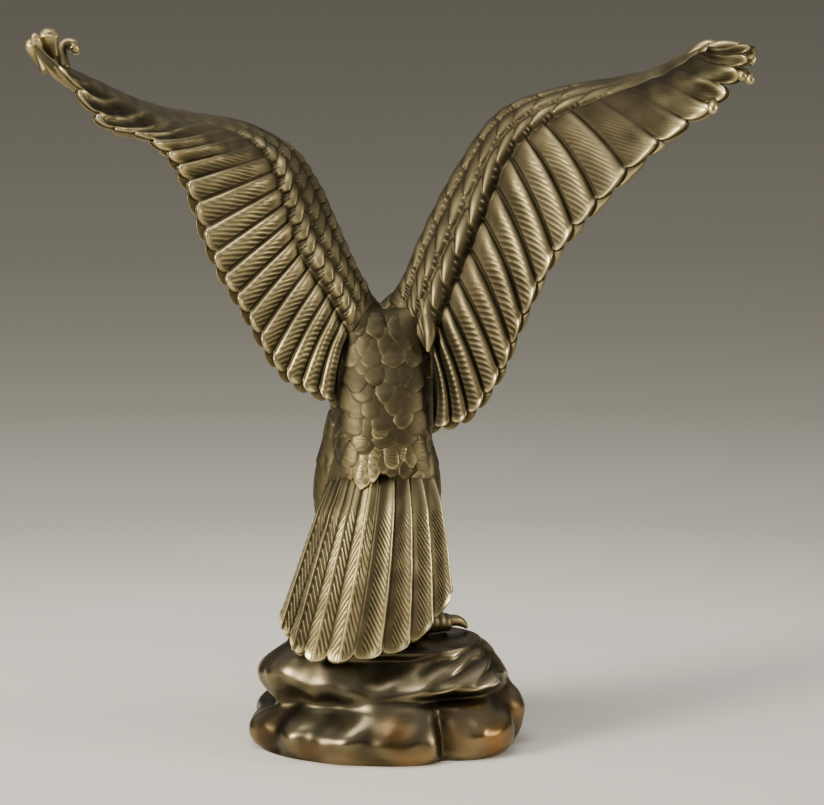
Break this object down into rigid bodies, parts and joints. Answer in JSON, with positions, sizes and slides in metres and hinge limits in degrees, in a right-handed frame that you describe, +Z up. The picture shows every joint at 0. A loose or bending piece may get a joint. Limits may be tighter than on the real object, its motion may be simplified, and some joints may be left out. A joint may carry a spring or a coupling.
{
  "type": "animal statue",
  "caption": "Cast brass eagle with raised, spread wings, fanned tail and lowered head, standing on a lobed cast rock plinth.",
  "frame": {"origin": "the middle of the rock's flat underside", "axes": "+Z up; the eagle faces -Y, and its left wing is on the +X side"},
  "size_m": [0.1964, 0.091, 0.2006],
  "materials": {
    "antique_brass": "antiqued olive-brown patina, dark in the grooves and rubbed to bright gold on raised edges",
    "dark_brass": "glossy dark brown patina with amber lacquer patches and dark grey-green hollows"
  },
  "bodies": {
    "root": {"eagle": "antique_brass", "rock_plinth": "dark_brass"}
  },
  "joints": []
}
